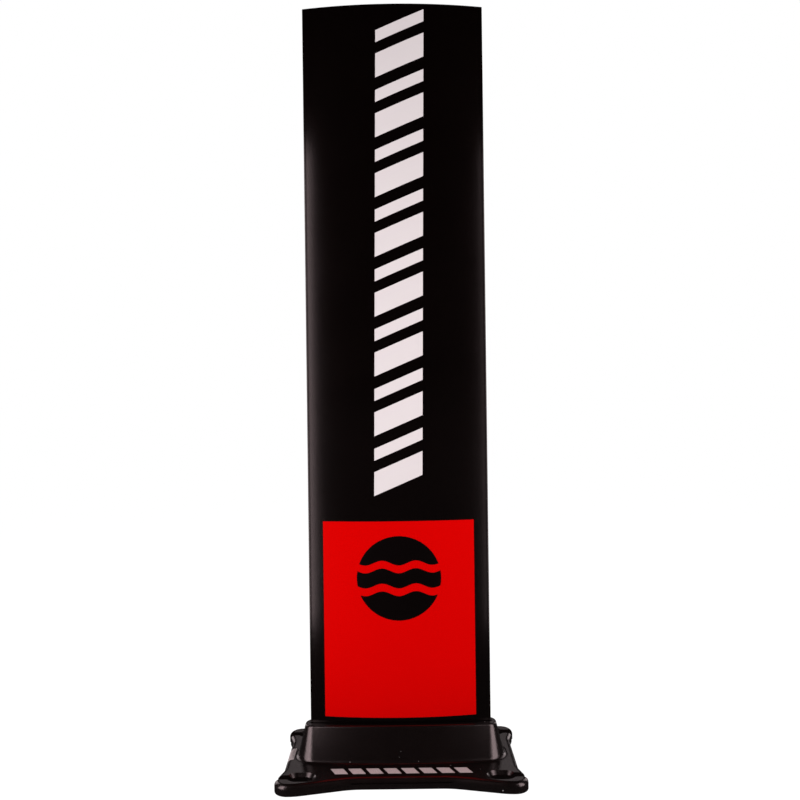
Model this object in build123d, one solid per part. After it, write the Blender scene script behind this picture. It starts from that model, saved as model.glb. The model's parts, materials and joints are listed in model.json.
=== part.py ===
"""Hydrofoil mast with its board plate: a hollow lens-section mast that stands in a socket on a four-eared plate.

Frame: millimetres, +Z up along the mast, +X along the chord, the front face towards -Y.
The origin is the middle of the plate's underside, which is the face that meets the board.
"""

import os
from math import cos, radians, sin, tan

from build123d import *

# --- Mast -------------------------------------------------------------------------------------
MAST_LENGTH = 620.0
MAST_CHORD = 151.0
MAST_THICKNESS = 18.5
MAST_EDGE_THICKNESS = 2.0  # of the blunt nose and tail
MAST_WALL = 2.4
WEB_THICKNESS = 3.0
CORE_CELL_LENGTH = 76.0  # the middle cell, between the two webs
TIP_SOLID_LENGTH = 14.0  # solid metal at the nose and at the tail
CELL_CORNER_RADIUS = 0.8

# --- Plate ------------------------------------------------------------------------------------
PLATE_LENGTH = 199.0
PLATE_WIDTH = 121.0
PLATE_THICKNESS = 9.0
FRONT_WAIST_DEPTH = 11.0  # how far the front and back edges lie inside the ears
WAIST_RUN = 79.0  # how far the front waist runs before it turns out to the ears
SIDE_WAIST_DEPTH = 5.0
SIDE_RUN = 58.0  # how far the side waist runs
EAR_FRONT_RUN = 16.8  # from an ear's outer end to where its front edge turns in
EAR_SIDE_RUN = 13.5  # from an ear's front edge to where its side turns in
EAR_CORNER_RADIUS = 11.0
EAR_SHOULDER_RADIUS = 40.0
EAR_HEEL_RADIUS = 10.0
WAIST_BLEND_RADIUS = 60.0
SIDE_BLEND_RADIUS = 15.0
PLATE_TOP_ROUND = 3.8
PLATE_BOTTOM_ROUND = 1.0
GROOVE_HEIGHT = 1.2  # the parting groove along the front and back waist
GROOVE_DEPTH = 1.0
GROOVE_LEVEL = 5.2

# --- Board screw slots ------------------------------------------------------------------------
SLOT_SPACING_X = 165.0
SLOT_SPACING_Y = 90.0
SLOT_WIDTH = 8.4
SLOT_LENGTH = 22.0
SLOT_MOUTH_WIDTH = 7.8  # the slot's way out through the ear's end, between two low lips
RECESS_WIDTH = 17.0  # the pocket for the screw's head and washer, at its rim
RECESS_LENGTH = 23.0
RECESS_DEPTH = 2.8
RECESS_SLOPE = 40.0  # degrees that the pocket's side leans outwards
RECESS_INSET = 3.5  # how far the pocket's middle lies inboard of the slot's

# --- Socket -----------------------------------------------------------------------------------
BOSS_HEIGHT = 28.2
BOSS_END_WALL = 3.8  # from the mast's nose or tail to the end of the socket's top
BOSS_FACE_WALL = 6.0  # from the mast's face to the front of the socket's top
BOSS_TOP_BOW = 8.0  # how far its front and back faces stand out in the middle
BOSS_FOOT_BOW = 5.0
BOSS_TOP_CORNER_RADIUS = 7.0
BOSS_FOOT_CORNER_RADIUS = 16.0
BOSS_DRAFT = 14.0  # degrees
BOSS_CROWN = 1.8  # how far its top falls away towards its ends
BOSS_TOP_ROUND = 1.8
BOSS_FOOT_FILLET = 3.4  # or less, where the plate leaves no room for it
BOSS_FOOT_LAND = 0.1  # flat left between that fillet and the plate's rounded edge
SOCKET_DEPTH = 23.0
SOCKET_CLEARANCE = 0.2
SEAL_THICKNESS = 1.2
SEAL_HEIGHT = 2.4  # at the socket's ends, where the rim is lowest
SEAL_RECESS = 0.3  # how far the seal lies below the socket's rim
SEAL_GAP = 0.05

# --- Inserts, threads and screws --------------------------------------------------------------
BOND_GAP = 0.06  # glue line around each bonded piece
ROOT_BLOCK_LENGTH = 45.0
TIP_BLOCK_LENGTH = 40.0
ROOT_SCREW_PITCH = 28.0
ROOT_SCREW_COUNT = 3
TIP_THREAD_SPACING = 50.0
THREAD_RADIUS = 4.0  # M8
THREAD_CORE_RADIUS = 3.4
THREAD_GAP = 0.05
BUSH_RADIUS = 5.0  # outside of a steel thread bush
BUSH_LENGTH = 16.0
BUSH_INSET = 1.0
PILOT_RADIUS = 4.2
PILOT_EXTRA = 8.0  # how far the drilled hole runs on past the bush
SCREW_LENGTH = 30.0
SCREW_HEAD_RADIUS = 8.0
SCREW_HEAD_LAND = 0.6
SCREW_INSET = 0.4
SCREW_CLEAR_RADIUS = 4.5
SCREW_SEAT_GAP = 0.08
HEX_ACROSS_FLATS = 5.0
HEX_DEPTH = 3.2
SCREW_POINT_CHAMFER = 1.0
PLUG_LENGTH = 12.0
PLUG_INSET = 0.6

# --- Graphics ---------------------------------------------------------------------------------
FILM_THICKNESS = 0.15
PANEL_INSET = 12.5  # from the mast's nose and tail
PANEL_HEIGHT = 162.8
PANEL_GAP = 4.7  # between the socket's rim and the panel
EMBLEM_RADIUS = 35.0
EMBLEM_CENTRE = 115.5  # up from the panel's lower edge
WAVE_LENGTH = 28.0
WAVE_RISE = 4.0
WAVE_BAND = 6.5
WAVE_PITCH = 19.0
STRIPE_WIDTH = 40.0  # across the column of bars
STRIPE_BOTTOM_GAP = 20.8  # between the panel and the column
STRIPE_TOP_GAP = 2.4
STRIPE_LEAN = 0.85  # degrees
STRIPE_OFFSET = 3.3
STRIPE_PAIRS = 8
BAR_SLOPE = 24.0  # degrees
THICK_BAR_SHARE = 0.40  # of one pair's pitch
THIN_BAR_SHARE = 0.20
BAR_GAP_SHARE = 0.19
FRONT_MARK_LENGTH = 113.6
FRONT_MARK_WIDTH = 9.6
FRONT_MARK_CENTRE = 35.7  # in front of the plate's middle
FRONT_MARK_COUNT = 8
MARK_SHARE = 0.72  # of the marks' pitch
SIDE_MARK_LENGTH = 26.0
SIDE_MARK_WRAP = 60.0  # degrees that it follows the plate's rounded edge
SIDE_MARK_COUNT = 8

# --- For the modelling itself -----------------------------------------------------------------
OVERSHOOT = 1.0  # how far a cutter runs past the face that it cuts
TOUCH = 0.01  # how close to a level an edge lies when it belongs to it

# --- Worked out from the sizes above ----------------------------------------------------------
WAIST_WIDTH = PLATE_WIDTH - 2 * FRONT_WAIST_DEPTH
WAIST_LENGTH = PLATE_LENGTH - 2 * SIDE_WAIST_DEPTH
BOSS_TOP_LENGTH = MAST_CHORD + 2 * BOSS_END_WALL
BOSS_TOP_WIDTH = MAST_THICKNESS + 2 * BOSS_FACE_WALL
BOSS_TOP = PLATE_THICKNESS + BOSS_HEIGHT
SOCKET_FLOOR = BOSS_TOP - SOCKET_DEPTH
SEAL_BOTTOM = BOSS_TOP - BOSS_CROWN - SEAL_HEIGHT
MAST_TOP = SOCKET_FLOOR + MAST_LENGTH
BOSS_SPREAD = BOSS_HEIGHT * tan(radians(BOSS_DRAFT))
FOOT_END = BOSS_TOP_LENGTH / 2 + BOSS_SPREAD
FOOT_SIDE = BOSS_TOP_WIDTH / 2 + BOSS_SPREAD
FLAT_END = WAIST_LENGTH / 2 - PLATE_TOP_ROUND
FLAT_SIDE = WAIST_WIDTH / 2 - PLATE_TOP_ROUND
FILLET_SHARE = tan(radians((90 - BOSS_DRAFT) / 2))  # of the fillet's radius, along the plate
FOOT_FILLET = min(BOSS_FOOT_FILLET, (FLAT_END - FOOT_END - BOSS_FOOT_LAND) / FILLET_SHARE)
PANEL_WIDTH = MAST_CHORD - 2 * PANEL_INSET
PANEL_BOTTOM = BOSS_TOP + PANEL_GAP
PANEL_TOP = PANEL_BOTTOM + PANEL_HEIGHT
STRIPE_BOTTOM = PANEL_TOP + STRIPE_BOTTOM_GAP
STRIPE_LENGTH = MAST_TOP - STRIPE_TOP_GAP - STRIPE_BOTTOM


# --- Outlines ---------------------------------------------------------------------------------
def lens_outline(grow=0.0):
    """The mast's section, grown by a clearance: two shallow arcs that meet in blunt round edges."""
    half_edge = MAST_EDGE_THICKNESS / 2 + grow
    half_chord = MAST_CHORD / 2 + grow
    shoulder = half_chord - half_edge
    crown = MAST_THICKNESS / 2 + grow
    edges = [
        ThreePointArc((-shoulder, half_edge), (0, crown), (shoulder, half_edge)),
        ThreePointArc((shoulder, half_edge), (half_chord, 0), (shoulder, -half_edge)),
        ThreePointArc((shoulder, -half_edge), (0, -crown), (-shoulder, -half_edge)),
        ThreePointArc((-shoulder, -half_edge), (-half_chord, 0), (-shoulder, half_edge)),
    ]
    return make_face(Wire(edges))


def slab(low, high, across):
    """A flat strip of the section between two places along the chord."""
    return Pos((low + high) / 2, 0) * Rectangle(high - low, across)


def cell_outline(low, high, shrink=0.0):
    """One hollow cell of the mast between two places along the chord, less a clearance."""
    strip = slab(low + shrink, high - shrink, MAST_THICKNESS)
    cell = (lens_outline(-MAST_WALL - shrink) & strip).faces()[0]
    corners = [v for v in cell.vertices() if abs(abs(v.Y)) > CELL_CORNER_RADIUS]
    return fillet(corners, CELL_CORNER_RADIUS)


def cell_spans():
    """Where the nose, core and tail cells start and end along the chord."""
    core = CORE_CELL_LENGTH / 2
    end = MAST_CHORD / 2 - TIP_SOLID_LENGTH
    return {
        "nose": (-end, -core - WEB_THICKNESS),
        "core": (-core, core),
        "tail": (core + WEB_THICKNESS, end),
    }


def bowed_rectangle(length, width, bow, corner_radius):
    """A rounded rectangle whose long sides stand out in the middle."""
    x, y = length / 2, width / 2
    edges = [
        ThreePointArc((-x, y - bow), (0, y), (x, y - bow)),
        Line((x, y - bow), (x, bow - y)),
        ThreePointArc((x, bow - y), (0, -y), (-x, bow - y)),
        Line((-x, bow - y), (-x, y - bow)),
    ]
    face = make_face(Wire(edges))
    return fillet(face.vertices(), corner_radius)


def plate_outline():
    """The plate seen from above: a waisted rectangle with an ear at each corner."""
    corners = [
        (WAIST_RUN / 2, WAIST_WIDTH / 2, WAIST_BLEND_RADIUS),
        (PLATE_LENGTH / 2 - EAR_FRONT_RUN, PLATE_WIDTH / 2, EAR_SHOULDER_RADIUS),
        (PLATE_LENGTH / 2, PLATE_WIDTH / 2, EAR_CORNER_RADIUS),
        (PLATE_LENGTH / 2, PLATE_WIDTH / 2 - EAR_SIDE_RUN, EAR_HEEL_RADIUS),
        (WAIST_LENGTH / 2, SIDE_RUN / 2, SIDE_BLEND_RADIUS),
    ]
    first = corners
    second = [(x, -y, r) for x, y, r in reversed(corners)]
    third = [(-x, -y, r) for x, y, r in corners]
    fourth = [(-x, y, r) for x, y, r in reversed(corners)]
    points = first + second + third + fourth
    face = make_face(Polyline([(x, y) for x, y, _ in points], close=True))
    for x, y, radius in points:
        corner = face.vertices().sort_by_distance((x, y, 0))[0]
        face = fillet(corner, radius)
    return face


# --- Cast plate with its socket ---------------------------------------------------------------
def crowned_block(drop=0.0):
    """Everything below the socket's crowned top, or below a surface that lies deeper by the drop."""
    half = BOSS_TOP_LENGTH / 2
    radius = (half**2 + BOSS_CROWN**2) / (2 * BOSS_CROWN)
    barrel = Rot(90, 0, 0) * Cylinder(radius, 2 * (BOSS_TOP_WIDTH + BOSS_HEIGHT))
    return Pos(0, 0, BOSS_TOP - radius - drop) * barrel


def boss():
    """The socket's outside: a drafted block with bowed faces and a crowned, rounded top."""
    top = bowed_rectangle(BOSS_TOP_LENGTH, BOSS_TOP_WIDTH, BOSS_TOP_BOW, BOSS_TOP_CORNER_RADIUS)
    foot = bowed_rectangle(2 * FOOT_END, 2 * FOOT_SIDE, BOSS_FOOT_BOW, BOSS_FOOT_CORNER_RADIUS)
    body = loft([Pos(0, 0, PLATE_THICKNESS) * foot, Pos(0, 0, BOSS_TOP) * top], ruled=True)
    body &= crowned_block()
    below_rim = BOSS_TOP - BOSS_CROWN - TOUCH
    rim = [e for e in body.edges() if e.bounding_box().min.Z > below_rim]
    return fillet(rim, BOSS_TOP_ROUND)


def plate_blank():
    """The plate before its slots are cut, with rounded edges and the groove along each waist."""
    slab_body = extrude(plate_outline(), PLATE_THICKNESS)
    slab_body = fillet(slab_body.faces().sort_by(Axis.Z)[-1].edges(), PLATE_TOP_ROUND)
    slab_body = fillet(slab_body.faces().sort_by(Axis.Z)[0].edges(), PLATE_BOTTOM_ROUND)
    for side in (-1, 1):
        groove = Box(WAIST_RUN, 2 * GROOVE_DEPTH, GROOVE_HEIGHT)
        slab_body -= Pos(0, side * WAIST_WIDTH / 2, GROOVE_LEVEL) * groove
    return slab_body


def recess():
    """The pocket's shape about its rim's middle: a dish with leaning sides and a flat floor."""
    levels = []
    for z in (-RECESS_DEPTH, OVERSHOOT):
        grow = 2 * z * tan(radians(RECESS_SLOPE))
        levels.append(Pos(0, 0, z) * SlotOverall(RECESS_LENGTH + grow, RECESS_WIDTH + grow))
    return loft(levels, ruled=True)


def slot_cutters():
    """For each ear: the open screw slot, with its narrower mouth, and the pocket for the head."""
    cutters = []
    for sx in (-1, 1):
        for sy in (-1, 1):
            x, y = sx * SLOT_SPACING_X / 2, sy * SLOT_SPACING_Y / 2
            slot = Pos(x, y) * SlotOverall(SLOT_LENGTH, SLOT_WIDTH)
            reach = PLATE_LENGTH / 2 + OVERSHOOT - SLOT_SPACING_X / 2
            mouth = Pos(x + sx * reach / 2, y) * Rectangle(reach, SLOT_MOUTH_WIDTH)
            through = extrude(slot + mouth, PLATE_THICKNESS + 2 * OVERSHOOT)
            cutters.append(Pos(0, 0, -OVERSHOOT) * through)
            cutters.append(Pos(x - sx * RECESS_INSET, y, PLATE_THICKNESS) * recess())
    return cutters


def root_screw_places():
    middle = (ROOT_SCREW_COUNT - 1) / 2
    return [(i - middle) * ROOT_SCREW_PITCH for i in range(ROOT_SCREW_COUNT)]


def screw_seat(x):
    """The countersunk hole for one root screw, up through the socket's floor."""
    cone_height = SCREW_HEAD_RADIUS - THREAD_RADIUS
    head_top = SCREW_INSET + SCREW_HEAD_LAND
    wide = SCREW_HEAD_RADIUS + SCREW_SEAT_GAP
    land = upright_cylinder(wide, head_top + OVERSHOOT, x, -OVERSHOOT)
    cone = Cone(
        wide, wide - cone_height, cone_height, align=(Align.CENTER, Align.CENTER, Align.MIN)
    )
    hole = upright_cylinder(SCREW_CLEAR_RADIUS, SOCKET_FLOOR + 2 * OVERSHOOT, x, -OVERSHOOT)
    return land + Pos(x, 0, head_top) * cone + hole


def base_plate():
    body = plate_blank() + boss()
    inside_x = (FOOT_END + FLAT_END) / 2
    inside_y = (FOOT_SIDE + FLAT_SIDE) / 2
    level = body.edges().filter_by_position(
        Axis.Z, PLATE_THICKNESS - TOUCH, PLATE_THICKNESS + TOUCH
    )
    foot = [e for e in level if abs(e.center().X) < inside_x and abs(e.center().Y) < inside_y]
    body = fillet(foot, FOOT_FILLET)
    for cutter in slot_cutters():
        body -= cutter
    socket = extrude(lens_outline(SOCKET_CLEARANCE), SOCKET_DEPTH + OVERSHOOT)
    body -= Pos(0, 0, SOCKET_FLOOR) * socket
    rebate = extrude(lens_outline(SEAL_THICKNESS + 2 * SEAL_GAP), SEAL_HEIGHT + BOSS_CROWN)
    body -= Pos(0, 0, SEAL_BOTTOM - SEAL_GAP) * rebate
    for x in root_screw_places():
        body -= screw_seat(x)
    return body


def socket_seal():
    """The rubber ring that closes the joint between the mast and the socket's rim."""
    ring = lens_outline(SEAL_THICKNESS + SEAL_GAP) - lens_outline(SEAL_GAP)
    ring_body = Pos(0, 0, SEAL_BOTTOM) * extrude(ring, SEAL_HEIGHT + BOSS_CROWN)
    return ring_body & crowned_block(SEAL_RECESS)


# --- Mast and what is bonded into it ----------------------------------------------------------
def mast_profile():
    section = lens_outline()
    for low, high in cell_spans().values():
        section -= cell_outline(low, high)
    return Pos(0, 0, SOCKET_FLOOR) * extrude(section, MAST_LENGTH)


def upright_cylinder(radius, height, x, z):
    base = Cylinder(radius, height, align=(Align.CENTER, Align.CENTER, Align.MIN))
    return Pos(x, 0, z) * base


def threaded_block(length, places, end, upward):
    """A block bonded into the core cell, flush with one end of the mast, drilled for thread bushes."""
    low, high = cell_spans()["core"]
    body = extrude(cell_outline(low, high, BOND_GAP), length)
    bottom = end - length if upward else end
    body = Pos(0, 0, bottom) * body
    seat = BUSH_INSET + BUSH_LENGTH
    for x in places:
        for radius, depth in ((BUSH_RADIUS + BOND_GAP, seat), (PILOT_RADIUS, seat + PILOT_EXTRA)):
            z = end - depth if upward else end - OVERSHOOT
            body -= upright_cylinder(radius, depth + OVERSHOOT, x, z)
    return body


def thread_bush(x, end, upward, bore):
    z = end - BUSH_INSET - BUSH_LENGTH if upward else end + BUSH_INSET
    return upright_cylinder(BUSH_RADIUS, BUSH_LENGTH, x, z) - upright_cylinder(
        bore, BUSH_LENGTH, x, z
    )


def cell_plug(cell, bottom):
    """A foam plug that closes the nose or tail cell near one end of the mast."""
    outline = cell_outline(*cell_spans()[cell], BOND_GAP)
    return Pos(0, 0, bottom) * extrude(outline, PLUG_LENGTH)


def root_screw(x):
    """A countersunk socket screw, head down."""
    cone_height = SCREW_HEAD_RADIUS - THREAD_RADIUS
    head_top = SCREW_INSET + SCREW_HEAD_LAND
    land = upright_cylinder(SCREW_HEAD_RADIUS, SCREW_HEAD_LAND, x, SCREW_INSET)
    cone = Pos(x, 0, head_top) * Cone(
        SCREW_HEAD_RADIUS,
        THREAD_RADIUS,
        cone_height,
        align=(Align.CENTER, Align.CENTER, Align.MIN),
    )
    shank = upright_cylinder(THREAD_RADIUS, SCREW_LENGTH - SCREW_HEAD_LAND, x, head_top)
    shank_end = shank.edges().sort_by(Axis.Z)[-1]
    shank = chamfer(shank_end, SCREW_POINT_CHAMFER)
    hexagon = RegularPolygon(HEX_ACROSS_FLATS / 2, 6, major_radius=False)
    return land + cone + shank - Pos(x, 0, SCREW_INSET) * extrude(hexagon, HEX_DEPTH)


# --- Printed film -----------------------------------------------------------------------------
def film(layer, width, bottom, height):
    """A sheet of film on the mast's front face, in the given layer above the metal."""
    shell = lens_outline((layer + 1) * FILM_THICKNESS) - lens_outline(layer * FILM_THICKNESS)
    front = Pos(0, -MAST_THICKNESS / 2) * Rectangle(width, MAST_THICKNESS)
    return Pos(0, 0, bottom) * extrude(shell & front, height)


def standing(face, lean=0.0, x=0.0, z=0.0):
    """A drawing in X and Y stood up as a prism that cuts through the mast's front face."""
    prism = extrude(Plane.XZ * face, MAST_THICKNESS)
    return Pos(x, 0, z) * Rot(0, lean, 0) * prism


def slanted_bar(width, thickness, centre):
    """A bar across a column, with parallel sloping long sides."""
    rise = width / 2 * tan(radians(BAR_SLOPE))
    low, high = centre - thickness / 2, centre + thickness / 2
    x = width / 2
    return make_face(
        Polyline((-x, low - rise), (x, low + rise), (x, high + rise), (-x, high - rise), close=True)
    )


def stripe_bars():
    """The column's bars, thick and thin in turn, as drawings about the column's middle."""
    rise = STRIPE_WIDTH * tan(radians(BAR_SLOPE))
    pitch = (STRIPE_LENGTH - rise) / (STRIPE_PAIRS - BAR_GAP_SHARE)
    start = -(STRIPE_LENGTH - rise) / 2
    bars = []
    for i in range(STRIPE_PAIRS):
        thick, thin = THICK_BAR_SHARE * pitch, THIN_BAR_SHARE * pitch
        low = start + i * pitch
        bars.append(slanted_bar(STRIPE_WIDTH, thick, low + thick / 2))
        low += thick + BAR_GAP_SHARE * pitch
        bars.append(slanted_bar(STRIPE_WIDTH, thin, low + thin / 2))
    return bars


def stripe_film():
    column = film(0, 2 * STRIPE_WIDTH, STRIPE_BOTTOM, STRIPE_LENGTH)
    middle = STRIPE_BOTTOM + STRIPE_LENGTH / 2
    return [
        (column & standing(bar, STRIPE_LEAN, STRIPE_OFFSET, middle)).solids()[0]
        for bar in stripe_bars()
    ]


def wave_band(centre):
    """A wavy band across the emblem: arcs that swing up and down in turn, and the same arcs above."""
    half = WAVE_LENGTH / 2
    halves = 2 * int(EMBLEM_RADIUS / half) + 3
    start = -halves * half / 2

    def arcs(level):
        made = []
        for i in range(halves):
            swing = WAVE_RISE / 2 if i % 2 else -WAVE_RISE / 2
            x = start + i * half
            made.append(
                ThreePointArc((x, level), (x + half / 2, level + swing), (x + half, level))
            )
        return made

    low, high = centre - WAVE_BAND / 2, centre + WAVE_BAND / 2
    end = start + halves * half
    sides = [Line((start, low), (start, high)), Line((end, low), (end, high))]
    return make_face(Wire(arcs(low) + arcs(high) + sides))


def emblem_film():
    """A disc crossed by wavy gaps."""
    disc = Circle(EMBLEM_RADIUS)
    for i in (-0.5, 0.5):
        disc -= wave_band(i * WAVE_PITCH)
    centre = PANEL_BOTTOM + EMBLEM_CENTRE
    side = 2 * (EMBLEM_RADIUS + OVERSHOOT)
    patch = film(1, side, centre - side / 2, side)
    pieces = []
    for face in disc.faces():
        pieces += (patch & standing(face, 0, 0, centre)).solids()
    return pieces


def turned_to_back(solids):
    return [Rot(0, 0, 180) * s for s in solids]


def mark_row(length, width, count):
    """A row of small slanted bars along X, as drawings about the row's middle."""
    run = length - width * tan(radians(BAR_SLOPE))
    pitch = run / (count - 1 + MARK_SHARE)
    bar = MARK_SHARE * pitch
    start = (bar - run) / 2
    return [Rot(0, 0, 90) * slanted_bar(width, bar, -start - i * pitch) for i in range(count)]


def front_marks():
    row = mark_row(FRONT_MARK_LENGTH, FRONT_MARK_WIDTH, FRONT_MARK_COUNT)
    return [extrude(Pos(0, -FRONT_MARK_CENTRE, PLATE_THICKNESS) * d, FILM_THICKNESS) for d in row]


def edge_film():
    """Film along the plate's end edge: from the socket's foot out and down over the rounding."""
    inner = FOOT_END + FOOT_FILLET * FILLET_SHARE
    middle_z = PLATE_THICKNESS - PLATE_TOP_ROUND

    def on_rounding(share, height):
        angle = radians(SIDE_MARK_WRAP * share)
        radius = PLATE_TOP_ROUND + height
        return (-FLAT_END - radius * sin(angle), middle_z + radius * cos(angle))

    low, high = PLATE_THICKNESS, PLATE_THICKNESS + FILM_THICKNESS
    outer = [on_rounding(share, FILM_THICKNESS) for share in (0, 0.5, 1)]
    under = [on_rounding(share, 0) for share in (1, 0.5, 0)]
    edges = [
        Line((-inner, low), (-inner, high)),
        Line((-inner, high), outer[0]),
        ThreePointArc(*outer),
        Line(outer[2], under[0]),
        ThreePointArc(*under),
        Line(under[2], (-inner, low)),
    ]
    section = Plane.XZ * make_face(Wire(edges))
    return extrude(section, SIDE_MARK_LENGTH, both=True)


def side_marks():
    outer = WAIST_LENGTH / 2
    width = outer - FOOT_END
    strip = edge_film()
    marks = []
    for drawing in mark_row(SIDE_MARK_LENGTH, width, SIDE_MARK_COUNT):
        prism = extrude(Pos(width / 2 - outer, 0) * Rot(0, 0, 90) * drawing, 2 * PLATE_THICKNESS)
        marks += (strip & prism).solids()
    return marks


# --- Everything -------------------------------------------------------------------------------
def nodes():
    screws = root_screw_places()
    tips = (-TIP_THREAD_SPACING / 2, TIP_THREAD_SPACING / 2)
    panel = [film(0, PANEL_WIDTH, PANEL_BOTTOM, PANEL_HEIGHT)]
    stripes = stripe_film()
    emblem = emblem_film()
    screw_bore = THREAD_RADIUS + THREAD_GAP
    root_plugs = SOCKET_FLOOR + PLUG_INSET
    tip_plugs = MAST_TOP - PLUG_INSET - PLUG_LENGTH
    return {
        "base_plate": [base_plate()],
        "socket_seal": [socket_seal()],
        "mast_profile": [mast_profile()],
        "root_block": [threaded_block(ROOT_BLOCK_LENGTH, screws, SOCKET_FLOOR, False)],
        "root_thread_bushes": [thread_bush(x, SOCKET_FLOOR, False, screw_bore) for x in screws],
        "root_screws": [root_screw(x) for x in screws],
        "root_nose_plug": [cell_plug("nose", root_plugs)],
        "root_tail_plug": [cell_plug("tail", root_plugs)],
        "tip_block": [threaded_block(TIP_BLOCK_LENGTH, tips, MAST_TOP, True)],
        "tip_thread_bushes": [thread_bush(x, MAST_TOP, True, THREAD_CORE_RADIUS) for x in tips],
        "tip_nose_plug": [cell_plug("nose", tip_plugs)],
        "tip_tail_plug": [cell_plug("tail", tip_plugs)],
        "front_panel_film": panel,
        "back_panel_film": turned_to_back(panel),
        "front_emblem_film": emblem,
        "back_emblem_film": turned_to_back(emblem),
        "front_stripe_film": stripes,
        "back_stripe_film": turned_to_back(stripes),
        "plate_front_marks": front_marks(),
        "plate_side_marks": side_marks(),
    }


os.makedirs("parts", exist_ok=True)
for name, solids in nodes().items():
    shape = solids[0] if len(solids) == 1 else Compound(children=list(solids))
    export_step(shape, f"parts/{name}.step")
    print(name, len(solids), "solids")
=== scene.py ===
"""Looks for a hydrofoil mast on its board plate: finishes, fine surfaces, lights and camera.

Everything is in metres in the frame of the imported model, +Z up and the front face towards -Y.
Sizes that the frame's boxes don't give are named below in millimetres.
"""

import json
import math

import bmesh
import bpy
import numpy as np
from mathutils.geometry import tessellate_polygon
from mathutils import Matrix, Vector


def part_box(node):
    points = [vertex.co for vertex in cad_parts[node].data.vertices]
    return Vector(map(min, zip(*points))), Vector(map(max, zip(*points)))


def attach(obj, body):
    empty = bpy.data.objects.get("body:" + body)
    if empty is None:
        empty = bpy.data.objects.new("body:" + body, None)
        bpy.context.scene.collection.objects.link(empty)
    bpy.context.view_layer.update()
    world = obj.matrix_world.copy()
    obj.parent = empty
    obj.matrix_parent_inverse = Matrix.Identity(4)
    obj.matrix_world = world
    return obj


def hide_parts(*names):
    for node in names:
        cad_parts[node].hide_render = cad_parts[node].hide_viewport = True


MM = 0.001
BODY = "root"

# --- Sizes in millimetres ---------------------------------------------------------------------
EDGE_THICKNESS = 2.0  # of the mast's blunt nose and tail
WALL = 2.4
WEB = 3.0
BLOCK_GLUE_GAP = 0.06
CELL_CORNER = 0.8
END_ROUND = 0.3  # broken edge at the mast's cut ends
FILM = 0.15  # thickness of one layer of film
STRIPE_SLOPE = 24.0  # degrees, of each bar
STRIPE_LEAN = 0.85  # degrees, of the whole column
STRIPE_WIDTH = 40.0
STRIPE_PAIRS = 8
THICK_SHARE = 0.40  # of one pair's pitch
THIN_SHARE = 0.20
GAP_SHARE = 0.19
EMBLEM_GAP = 6.5  # height of each wavy gap
EMBLEM_PITCH = 19.0
WAVE_LENGTH = 28.0
WAVE_SWING = 2.0  # to each side of its middle line
SEAL_WIDTH = 1.2
SOCKET_CROWN_REACH = 79.3  # along the chord, over which the socket's rim falls away
SOCKET_CROWN = 1.8
THREAD_PITCH = 1.25
THREAD_CREST = 3.4
THREAD_ROOT = 4.0
THREAD_MOUTH = 0.7  # countersink of the bush's bore
BUSH_EDGE = 0.25  # broken edge outside

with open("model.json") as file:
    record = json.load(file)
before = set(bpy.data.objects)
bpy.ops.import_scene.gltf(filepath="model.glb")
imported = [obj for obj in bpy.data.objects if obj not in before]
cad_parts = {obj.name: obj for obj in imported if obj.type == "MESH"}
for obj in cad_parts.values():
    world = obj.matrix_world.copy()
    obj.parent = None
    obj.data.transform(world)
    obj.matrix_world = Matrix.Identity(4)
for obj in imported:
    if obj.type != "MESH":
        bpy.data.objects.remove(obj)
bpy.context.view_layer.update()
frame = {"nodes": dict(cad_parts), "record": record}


# --- Shader maths -----------------------------------------------------------------------------
class Value:
    """A socket in a material's node tree; arithmetic on it adds Math nodes."""

    def __init__(self, finish, socket):
        self.finish = finish
        self.socket = socket

    def math(self, operation, *numbers):
        return self.finish.node("ShaderNodeMath", {"operation": operation}, numbers)

    def __add__(self, other):
        return self.math("ADD", self, other)

    def __sub__(self, other):
        return self.math("SUBTRACT", self, other)

    def __rsub__(self, other):
        return self.math("SUBTRACT", other, self)

    def __mul__(self, other):
        return self.math("MULTIPLY", self, other)

    def __pow__(self, other):
        return self.math("POWER", self, other)

    __radd__ = __add__
    __rmul__ = __mul__

    def rise(self, low, high):
        """0 below low, 1 above high, and a smooth rise between them."""
        inputs = {"Value": self, "From Min": low, "From Max": high}
        return self.finish.node("ShaderNodeMapRange", {"interpolation_type": "SMOOTHSTEP"}, inputs)


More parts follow.
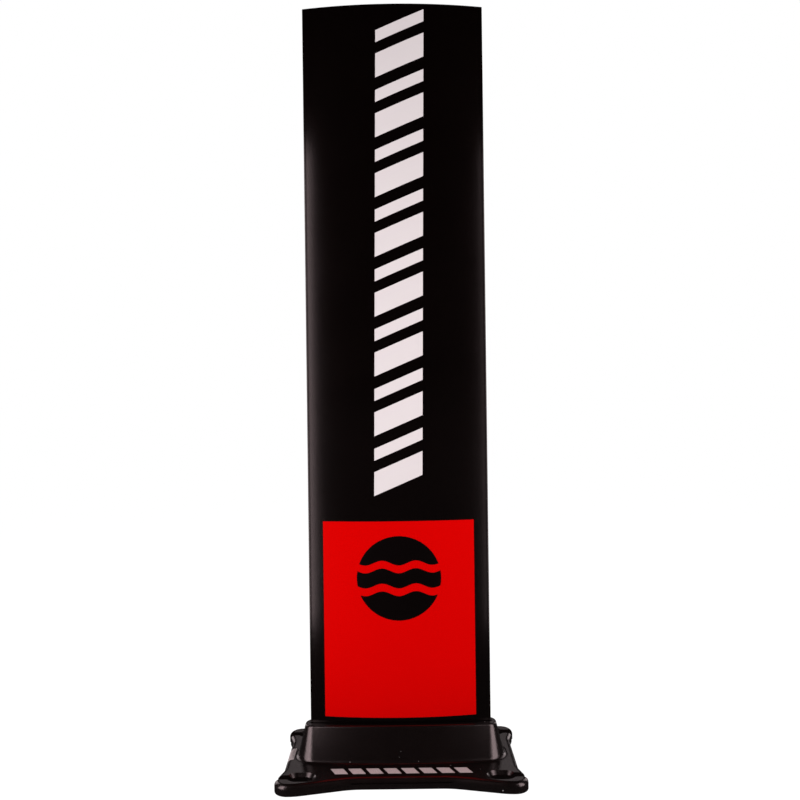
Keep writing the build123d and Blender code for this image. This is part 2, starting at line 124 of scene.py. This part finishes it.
class Finish:
    """A material: constants on its principled shader, and nodes for what changes over a surface."""

    def __init__(self, name, **constants):
        self.material = bpy.data.materials.new(name)
        self.material.use_nodes = True
        self.tree = self.material.node_tree
        self.shader = self.tree.nodes["Principled BSDF"]
        for label, value in constants.items():
            self.shader.inputs[label.replace("_", " ")].default_value = value

    def node(self, kind, settings=None, inputs=(), output=0):
        """Adds a node, sets it up, fills or links its sockets and returns one output."""
        made = self.tree.nodes.new(kind)
        for label, value in (settings or {}).items():
            setattr(made, label, value)
        for label, value in inputs.items() if isinstance(inputs, dict) else enumerate(inputs):
            if isinstance(value, Value):
                self.tree.links.new(value.socket, made.inputs[label])
            else:
                made.inputs[label].default_value = value
        return Value(self, made.outputs[output])

    def place(self, stretch=(1, 1, 1)):
        """Object coordinates, squeezed along an axis where grain runs that way."""
        where = self.node("ShaderNodeTexCoord", output="Object")
        return self.node("ShaderNodeMapping", {}, {"Vector": where, "Scale": stretch})

    def noise(self, size, detail=2.0, roughness=0.5, stretch=(1, 1, 1)):
        """Noise whose blobs are about this many millimetres across."""
        inputs = {
            "Vector": self.place(stretch),
            "Scale": 1 / (size * MM),
            "Detail": detail,
            "Roughness": roughness,
        }
        return self.node("ShaderNodeTexNoise", {}, inputs)

    def cells(self, size, output="Distance", randomness=1.0):
        """Distance to the nearest of scattered points, about this many millimetres apart."""
        inputs = {"Vector": self.place(), "Scale": 1 / (size * MM), "Randomness": randomness}
        return self.node("ShaderNodeTexVoronoi", {}, inputs, output)

    def blend(self, factor, first, second):
        """A colour part of the way from the first to the second."""
        inputs = {0: factor, 6: first, 7: second}
        return self.node("ShaderNodeMix", {"data_type": "RGBA"}, inputs, 2)

    def specks(self, spacing, size, share):
        """Scattered round dots: 1 inside a dot, 0 elsewhere; only some of the places hold one."""
        pick = self.node("ShaderNodeSeparateColor", {}, [self.cells(spacing, "Color")])
        dot = 1 - self.cells(spacing).rise(0.5 * size / spacing, size / spacing)
        return dot * pick.rise(1 - share, 1 - share + 0.01)

    def bump(self, height, depth, below=None):
        """A bump whose height runs from 0 to 1 over this many millimetres, on top of another."""
        inputs = {"Distance": depth * MM, "Height": height}
        if below is not None:
            inputs["Normal"] = below
        return self.node("ShaderNodeBump", {}, inputs)

    def feed(self, **links):
        for label, value in links.items():
            self.tree.links.new(value.socket, self.shader.inputs[label.replace("_", " ")])
        return self.material


def rgb(red, green, blue):
    return (red, green, blue, 1.0)


def grey(level):
    return rgb(level, level, level)


# --- Finishes ---------------------------------------------------------------------------------
WARM_SHEEN = rgb(1.0, 0.86, 0.87)  # tint of the black metal's reflections


def satin_anodised():
    """Black satin metal: a fine even grain and a slow change of sheen."""
    f = Finish("mast_satin_black", IOR=1.46, Specular_Tint=WARM_SHEEN)
    grain = f.noise(0.6, 3.0, 0.65)
    cloud = f.noise(45.0, 3.0)
    tone = grain * 0.7 + cloud * 0.3
    return f.feed(
        Base_Color=f.blend(tone, rgb(0.0003, 0.0001, 0.0001), rgb(0.0022, 0.0011, 0.0010)),
        Roughness=0.10 + cloud * 0.03 + grain * 0.05,
        Normal=f.bump(grain, 0.014),
    )


def satin_casting():
    """Black coat on cast metal: orange peel, fine grain, and a few pale specks of dust."""
    f = Finish("plate_cast_black", IOR=1.56, Specular_Tint=WARM_SHEEN)
    peel = f.noise(1.5, 3.0, 0.5)
    grain = f.noise(0.4, 3.0, 0.6)
    cloud = f.noise(25.0, 3.0)
    dust = f.specks(8.0, 0.55, 0.25)
    tone = grain * 0.5 + cloud * 0.5
    coat = f.blend(tone, rgb(0.0015, 0.0008, 0.0007), rgb(0.0045, 0.0028, 0.0026))
    return f.feed(
        Base_Color=f.blend(dust * 0.8, coat, grey(0.30)),
        Roughness=0.20 + cloud * 0.04 + grain * 0.05 + dust * 0.3,
        Normal=f.bump(grain, 0.012, f.bump(peel, 0.035)),
    )


def film(name, low, high, specular):
    """Printed film: flat, with a faint orange peel and hardly any change of tone."""
    f = Finish(name, IOR=1.45, Specular_IOR_Level=specular)
    peel = f.noise(1.8, 2.0)
    cloud = f.noise(35.0, 2.0)
    return f.feed(
        Base_Color=f.blend(cloud, low, high),
        Roughness=0.26 + cloud * 0.05 + peel * 0.04,
        Normal=f.bump(peel, 0.006),
    )


def printed_ink():
    """White print on the plate, thin where the casting's grain stands up through it."""
    f = Finish("plate_print_white", IOR=1.45)
    grain = f.noise(0.7, 4.0, 0.6)
    return f.feed(
        Base_Color=f.blend(grain.rise(0.32, 0.55), rgb(0.30, 0.26, 0.26), rgb(0.56, 0.51, 0.51)),
        Roughness=0.45 + grain * 0.15,
        Normal=f.bump(grain, 0.03),
    )


def seal_rubber():
    f = Finish("seal_black_rubber", IOR=1.5)
    grain = f.noise(0.25, 3.0)
    return f.feed(
        Base_Color=f.blend(grain, grey(0.002), grey(0.005)),
        Roughness=0.62 + grain * 0.15,
        Normal=f.bump(grain, 0.02),
    )


def closed_cell_foam():
    f = Finish("plug_charcoal_foam", IOR=1.4)
    cells = f.cells(0.7)
    return f.feed(
        Base_Color=f.blend(cells, grey(0.05), grey(0.015)),
        Roughness=0.75 + cells * 0.15,
        Normal=f.bump(cells, 0.2),
    )


def milled_aluminium():
    """Bare metal with straight cutter lines."""
    f = Finish("block_milled_aluminium", Metallic=1.0)
    lines = f.noise(0.5, 2.0, 0.5, stretch=(1.0, 0.03, 1.0))
    cloud = f.noise(9.0, 2.0)
    return f.feed(
        Base_Color=f.blend(cloud, grey(0.50), grey(0.64)),
        Roughness=0.30 + lines * 0.18,
        Normal=f.bump(lines, 0.02),
    )


def turned_steel():
    f = Finish("fastener_stainless_steel", Metallic=1.0)
    grain = f.noise(0.3, 3.0)
    return f.feed(
        Base_Color=f.blend(grain, rgb(0.46, 0.45, 0.43), rgb(0.60, 0.59, 0.57)),
        Roughness=0.22 + grain * 0.14,
        Normal=f.bump(grain, 0.006),
    )


FINISHES = {
    "cast_plate": satin_casting(),
    "mast_metal": satin_anodised(),
    "block_metal": milled_aluminium(),
    "steel": turned_steel(),
    "rubber": seal_rubber(),
    "foam": closed_cell_foam(),
    "red_film": film("film_red", rgb(0.455, 0.0, 0.0), rgb(0.48, 0.0, 0.0), 0.01),
    "white_film": film("film_white", rgb(0.545, 0.52, 0.525), rgb(0.57, 0.545, 0.55), 0.5),
    "black_film": film("film_black", rgb(0.0010, 0.0003, 0.0003), rgb(0.0020, 0.0007, 0.0007), 0.15),
    "white_ink": printed_ink(),
}

for part in frame["record"]["subparts"]:
    node = frame["nodes"][part["node"]]
    node.data.materials.clear()
    node.data.materials.append(FINISHES[part["material_slot"]])


# --- Surfaces ---------------------------------------------------------------------------------
def quads(rows, columns, wrap=False):
    """Corner numbers of the faces of a grid of points; wrap joins its last column to its first."""
    numbers = np.arange(rows * columns).reshape(rows, columns)
    ahead = np.roll(numbers, -1, axis=1)
    last = columns if wrap else columns - 1
    a, b = numbers[:-1, :last], ahead[:-1, :last]
    c, d = ahead[1:, :last], numbers[1:, :last]
    return np.stack([a, b, c, d], -1).reshape(-1, 4)


def piece(name, points, faces, node, slot, sharp=35.0):
    """A closed mesh that stands for a CAD node, smooth but for edges sharper than an angle."""
    mesh = bpy.data.meshes.new(name)
    mesh.from_pydata(points.reshape(-1, 3).tolist(), [], [f.tolist() for f in faces])
    work = bmesh.new()
    work.from_mesh(mesh)
    bmesh.ops.remove_doubles(work, verts=work.verts, dist=2e-7)
    bmesh.ops.recalc_face_normals(work, faces=work.faces)
    work.to_mesh(mesh)
    work.free()
    mesh.shade_smooth()
    mesh.set_sharp_from_angle(angle=math.radians(sharp))
    mesh.materials.append(FINISHES[slot])
    made = bpy.data.objects.new(name, mesh)
    bpy.context.scene.collection.objects.link(made)
    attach(made, BODY)
    if node:
        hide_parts(node)
    return made


mast_low, mast_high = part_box("mast_profile")
HALF_CHORD = mast_high.x
HALF_THICK = mast_high.y
HALF_EDGE = EDGE_THICKNESS * MM / 2
SHOULDER = HALF_CHORD - HALF_EDGE
ARC_RISE = HALF_THICK - HALF_EDGE
ARC_RADIUS = (SHOULDER**2 + ARC_RISE**2) / (2 * ARC_RISE)


def face_depth(x):
    """How far the mast's face stands out at x: a shallow arc through its shoulders and its crown."""
    return HALF_THICK - ARC_RADIUS + np.sqrt(ARC_RADIUS**2 - x**2)


def lens_loop(grow, along=96, around=12):
    """The mast's section, grown by a distance: two shallow arcs joined by half circles."""
    x = np.linspace(-SHOULDER, SHOULDER, along + 1)
    turn = np.linspace(0, math.pi, around + 1)[1:-1]
    radius = HALF_EDGE + grow
    front = np.stack([x, -face_depth(x) - grow], 1)
    tail = np.stack([SHOULDER + radius * np.sin(turn), -radius * np.cos(turn)], 1)
    return np.concatenate([front, tail, -front, -tail])


def cell_loop(low, high, rows=24, corner_steps=5):
    """One hollow cell: two arcs a wall's thickness inside the mast's faces, with rounded corners."""
    r = CELL_CORNER * MM
    x = np.linspace(low + r, high - r, rows + 1)
    y = face_depth(x) - WALL * MM
    turn = np.linspace(0, math.pi / 2, corner_steps + 2)[1:-1]
    end_y = face_depth(high - r) - WALL * MM - r
    start_y = face_depth(low + r) - WALL * MM - r
    top_right = np.stack([high - r + r * np.sin(turn), end_y + r * np.cos(turn)], 1)
    top_left = np.stack([low + r - r * np.cos(turn), start_y + r * np.sin(turn)], 1)
    top = np.concatenate([top_left, np.stack([x, y], 1), top_right])
    return np.concatenate([top, top[::-1] * (1, -1)])


def stand(loop, levels):
    """A closed loop repeated at several heights: rows of points, one row for each height."""
    rows = np.broadcast_to(loop, (len(levels), *loop.shape))
    heights = np.broadcast_to(np.array(levels)[:, None, None], (len(levels), len(loop), 1))
    return np.concatenate([rows, heights], 2)


def mast_shell():
    """The extrusion: the lens loop carried up with rounded end edges, and three open cells."""
    low, high = mast_low.z, mast_high.z
    turn = np.linspace(0, math.pi / 2, 5)
    inset = END_ROUND * MM * (1 - np.sin(turn))
    drop = END_ROUND * MM * (1 - np.cos(turn))
    between = np.linspace(low, high, 26)[1:-1]
    rings = [stand(lens_loop(-i), [low + d])[0] for i, d in zip(inset, drop)]
    rings += list(stand(lens_loop(0.0), between))
    rings += [stand(lens_loop(-i), [high - d])[0] for i, d in zip(inset[::-1], drop[::-1])]
    outside = np.stack(rings)
    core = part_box("root_block")[1].x + BLOCK_GLUE_GAP * MM
    side = core + WEB * MM
    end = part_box("root_tail_plug")[1].x + BLOCK_GLUE_GAP * MM
    loops = [cell_loop(-end, -side), cell_loop(-core, core, 72), cell_loop(side, end)]
    points = [outside.reshape(-1, 3)]
    faces = list(quads(*outside.shape[:2], wrap=True))
    count = len(points[0])
    around = np.arange(outside.shape[1])
    lower = [around]
    upper = [count - outside.shape[1] + around]
    for loop in loops:
        walls = stand(loop, np.linspace(low, high, 26))
        points.append(walls.reshape(-1, 3))
        faces += list(quads(*walls.shape[:2], wrap=True) + count)
        lower.append(count + np.arange(len(loop)))
        count += len(points[-1])
        upper.append(count - len(loop) + np.arange(len(loop)))
    points = np.concatenate(points)
    for rims in (lower, upper):
        numbers = np.concatenate(rims)
        flat = [[(x, y, 0.0) for x, y in points[rim, :2].tolist()] for rim in rims]
        faces += [numbers[list(t)] for t in tessellate_polygon(flat)]
    piece("mast_shell", points, faces, "mast_profile", "mast_metal")


# --- Films ------------------------------------------------------------------------------------
def film_patch(x, z, layer, back):
    """A film over a grid of places: a sheet on the mast's face, another above it, and their rim."""
    side = -1 if back else 1
    depth = face_depth(x)
    sheets = [
        np.stack([side * x, -side * (depth + k * FILM * MM), z], -1) for k in (layer, layer + 1)
    ]
    rows, columns = x.shape
    face = quads(rows, columns)
    numbers = np.arange(rows * columns).reshape(rows, columns)
    rim = np.concatenate([numbers[0], numbers[1:, -1], numbers[-1, -2::-1], numbers[-2:0:-1, 0]])
    ahead = np.roll(rim, -1)
    count = rows * columns
    walls = np.stack([rim, ahead, ahead + count, rim + count], 1)
    faces = np.concatenate([face[:, ::-1], face + count, walls])
    return np.concatenate(sheets).reshape(-1, 3), faces


def join(patches):
    """Several patches as one list of points and one of faces."""
    points, faces, count = [], [], 0
    for p, f in patches:
        points.append(p)
        faces.append(f + count)
        count += len(p)
    return np.concatenate(points), list(np.concatenate(faces))


def spans(low, high, steps):
    return np.linspace(low, high, steps + 1)


def panel(back):
    """The red panel: one rectangle of film."""
    low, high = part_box("front_panel_film")
    z, x = np.meshgrid(spans(low.z, high.z, 24), spans(low.x, high.x, 96), indexing="ij")
    return join([film_patch(x, z, 0, back)])


def stripes(back):
    """A leaning column of sloped bars, thick and thin in turn, between the column's two ends."""
    low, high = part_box("front_stripe_film")
    lean = math.radians(STRIPE_LEAN)
    slope = math.tan(math.radians(STRIPE_SLOPE))
    width = STRIPE_WIDTH * MM
    lean_rise = width * math.sin(lean)
    length = (high.z - low.z + lean_rise) / math.cos(lean)
    pitch = (length - width * slope) / (STRIPE_PAIRS - GAP_SHARE)
    middle = (low.z + high.z) / 2
    offset = (low.x + high.x) / 2
    patches = []
    for i in range(STRIPE_PAIRS):
        start = i * pitch - (length - width * slope) / 2
        for share, lift in ((THICK_SHARE, 0.0), (THIN_SHARE, THICK_SHARE + GAP_SHARE)):
            across = spans(-width / 2, width / 2, 32)
            v, u = np.meshgrid(spans(0, share * pitch, 4), across, indexing="ij")
            up = start + lift * pitch + v + u * slope
            x = offset + u * math.cos(lean) + up * math.sin(lean)
            z = middle + up * math.cos(lean) - u * math.sin(lean)
            patches.append(film_patch(x, z, 0, back))
    return join(patches)


def emblem(back):
    """A disc crossed by two wavy gaps, as three pieces between a lower and an upper line."""
    low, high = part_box("front_emblem_film")
    radius = (high.x - low.x) / 2
    middle = (low.z + high.z) / 2
    half_gap = EMBLEM_GAP * MM / 2
    gap_level = EMBLEM_PITCH * MM / 2

    def wave(x, level):
        return level - WAVE_SWING * MM * np.cos(2 * math.pi * x / (WAVE_LENGTH * MM))

    def circle(x):
        return np.sqrt(np.maximum(radius**2 - x**2, 0))

    def reach(level):
        """How far from the middle the wavy line at this level meets the circle."""
        near, far = 0.0, radius
        for _ in range(40):
            x = (near + far) / 2
            near, far = (x, far) if circle(x) > abs(wave(x, level)) else (near, x)
        return near

    def between(lower, upper, half):
        x = -half * np.cos(spans(0, math.pi, 96))
        share = spans(0, 1, 24)[:, None]
        z = (1 - share) * lower(x) + share * upper(x)
        return film_patch(np.broadcast_to(x, z.shape), middle + z, 1, back)

    top, under_top = gap_level + half_gap, gap_level - half_gap
    bottom, over_bottom = -gap_level - half_gap, half_gap - gap_level
    return join(
        [
            between(lambda x: wave(x, top), circle, reach(top)),
            between(
                lambda x: np.maximum(wave(x, over_bottom), -circle(x)),
                lambda x: np.minimum(wave(x, under_top), circle(x)),
                radius,
            ),
            between(lambda x: -circle(x), lambda x: wave(x, bottom), reach(bottom)),
        ]
    )


# --- Seal and threads -------------------------------------------------------------------------
def seal():
    """A bead round the mast: an upright strip with a round top edge, level with the socket's rim."""
    low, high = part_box("socket_seal")
    inner = high.x - HALF_CHORD - SEAL_WIDTH * MM
    half = SEAL_WIDTH * MM / 2
    turn = np.linspace(0, math.pi, 13)
    reach = SOCKET_CROWN_REACH * MM
    crown = SOCKET_CROWN * MM
    barrel = (reach**2 + crown**2) / (2 * crown)
    rings = []
    profile = [(inner, None)]
    profile += [(inner + half - half * math.cos(t), half * math.sin(t) - half) for t in turn]
    profile += [(inner + 2 * half, None)]
    for out, rise in profile:
        loop = lens_loop(out)
        if rise is None:
            z = np.full(len(loop), low.z)
        else:
            z = high.z - barrel + np.sqrt(barrel**2 - loop[:, 0] ** 2) + rise
        rings.append(np.column_stack([loop, z]))
    grid = np.stack(rings + rings[:1])
    points = grid.reshape(-1, 3)
    piece("seal_bead", points, list(quads(*grid.shape[:2], wrap=True)), "socket_seal", "rubber")


def threaded_bush(x, low, high, radius):
    """A turned bush whose bore is a helix: the radius swings once for each pitch and each turn."""
    around = 72
    mouth = THREAD_MOUTH * MM
    edge = BUSH_EDGE * MM
    turn = np.linspace(0, 2 * math.pi, around, endpoint=False)
    heights = np.arange(low + mouth, high - mouth, THREAD_PITCH * MM / 10)
    phase = (heights[:, None] / (THREAD_PITCH * MM) - turn / (2 * math.pi)) % 1.0
    tooth = np.clip(np.abs(phase * 2 - 1) * 1.5 - 0.25, 0, 1)
    bore = (THREAD_ROOT + (THREAD_CREST - THREAD_ROOT) * tooth) * MM
    fade = np.clip((high - mouth - heights) / (THREAD_PITCH * MM), 0, 1)[:, None]
    bore = bore * fade + THREAD_ROOT * MM * (1 - fade)
    flat = np.ones(around)
    outer = [
        ((THREAD_ROOT * MM + mouth), low),
        (radius - edge, low),
        (radius, low + edge),
        (radius, high - edge),
        (radius - edge, high),
        ((THREAD_ROOT * MM + mouth), high),
    ]
    radii = np.stack([r * flat for r, _ in outer] + list(bore[::-1]))
    levels = np.concatenate([[z for _, z in outer], heights[::-1]])
    radii = np.concatenate([radii, radii[:1]])
    levels = np.concatenate([levels, levels[:1]])
    heights = np.broadcast_to(levels[:, None], radii.shape)
    grid = np.stack([x + radii * np.cos(turn), radii * np.sin(turn), heights], -1)
    return grid.reshape(-1, 3), quads(*radii.shape, wrap=True)


def tip_threads():
    low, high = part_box("tip_thread_bushes")
    radius = high.y
    reach = high.x - radius
    points, faces = join([threaded_bush(x, low.z, high.z, radius) for x in (-reach, reach)])
    piece("tip_threads", points, faces, "tip_thread_bushes", "steel")


mast_shell()
FILMS = {"panel": (panel, "red_film"), "stripe": (stripes, "white_film"), "emblem": (emblem, "black_film")}
for side in ("front", "back"):
    for name, (drawing, slot) in FILMS.items():
        points, faces = drawing(side == "back")
        piece(f"{side}_{name}", points, faces, f"{side}_{name}_film", slot)
seal()
tip_threads()


# --- Stage ------------------------------------------------------------------------------------
FLOOR_GLOW = 1.0
FLOOR_IN_REFLECTIONS = 0.03
FLOOR_RADIUS = 60.0
FLOOR_DROP = 0.0002  # below the plate, so that the two faces don't share a plane
STUDIO_IN_REFLECTIONS = 0.002
WARM_WHITE = (1.0, 0.89, 0.90)
CAMERA_PLACE = (2.7 * MM, -734.6 * MM, 305.3 * MM)
CAMERA_ROLL = 0.727  # degrees about its line of sight
CAMERA_LENS = 39.36

# azimuth in degrees, distance, height of its middle, its own width and height, radiance
LIGHTS = {
    "left_box": (-60.0, 0.5, 0.28, 0.26, 0.74, 4.6),
    "right_box": (61.5, 0.5, 0.28, 0.26, 0.74, 4.6),
    "left_fill": (-43.5, 0.5, 0.28, 0.12, 0.74, 3.5),
    "right_fill": (45.0, 0.5, 0.28, 0.12, 0.74, 1.7),
    "back_left_box": (-135.0, 0.9, 0.36, 0.4, 0.7, 1.8),
    "back_right_box": (135.0, 0.9, 0.36, 0.4, 0.7, 1.8),
    "back_card": (180.0, 1.6, 0.75, 0.9, 0.4, 0.5),
}


def stage_white():
    """A white floor that stays pale to the eye and dim in the object's reflections."""
    f = Finish("stage_white", Roughness=0.9, Specular_IOR_Level=0.0, Emission_Strength=1.0)
    path = f.node("ShaderNodeLightPath", output="Is Glossy Ray")
    return f.feed(
        Base_Color=f.blend(path, grey(0.12), grey(0.0)),
        Emission_Color=f.blend(path, grey(FLOOR_GLOW), grey(FLOOR_IN_REFLECTIONS)),
    )


def floor():
    """A flat round floor, as a grid of rings."""
    rings, around = 8, 64
    radius = np.linspace(MM, FLOOR_RADIUS, rings)[:, None]
    turn = np.linspace(0, 2 * math.pi, around, endpoint=False)
    flat = np.full((rings, around), -FLOOR_DROP)
    grid = np.stack([radius * np.cos(turn), radius * np.sin(turn), flat], -1)
    mesh = bpy.data.meshes.new("floor")
    mesh.from_pydata(grid.reshape(-1, 3).tolist(), [], quads(rings, around, wrap=True).tolist())
    mesh.materials.append(stage_white())
    made = bpy.data.objects.new("floor", mesh)
    bpy.context.scene.collection.objects.link(made)


def soft_box(name, azimuth, distance, middle, width, height, radiance):
    """An upright light panel round the object. Azimuth 0 is in front, 90 on the right."""
    data = bpy.data.lights.new(name, "AREA")
    data.shape = "RECTANGLE"
    data.size = width
    data.size_y = height
    data.energy = radiance * math.pi * width * height
    data.color = WARM_WHITE
    made = bpy.data.objects.new(name, data)
    turn = math.radians(azimuth)
    made.location = (distance * math.sin(turn), -distance * math.cos(turn), middle)
    made.rotation_euler = (math.pi / 2, 0.0, turn)
    made.visible_camera = False
    bpy.context.scene.collection.objects.link(made)


def studio():
    """White to the eye, dim in reflections."""
    world = bpy.data.worlds.new("studio")
    bpy.context.scene.world = world
    world.use_nodes = True
    tree = world.node_tree
    path = tree.nodes.new("ShaderNodeLightPath")
    mix = tree.nodes.new("ShaderNodeMix")
    mix.data_type = "RGBA"
    mix.inputs[6].default_value = grey(STUDIO_IN_REFLECTIONS)
    mix.inputs[7].default_value = grey(1.0)
    tree.links.new(path.outputs["Is Camera Ray"], mix.inputs[0])
    tree.links.new(mix.outputs[2], tree.nodes["Background"].inputs["Color"])


def camera():
    """Level, about half way up the mast's lower half, turned slightly about its line of sight."""
    data = bpy.data.cameras.new("camera")
    data.sensor_width = 36.0
    data.lens = CAMERA_LENS
    data.clip_start = 0.01
    made = bpy.data.objects.new("camera", data)
    made.location = CAMERA_PLACE
    made.rotation_euler = (math.pi / 2, math.radians(CAMERA_ROLL), 0.0)
    bpy.context.scene.collection.objects.link(made)
    bpy.context.scene.camera = made


bpy.context.scene.view_settings.view_transform = "Standard"
camera()
studio()
floor()
for name, sizes in LIGHTS.items():
    soft_box(name, *sizes)
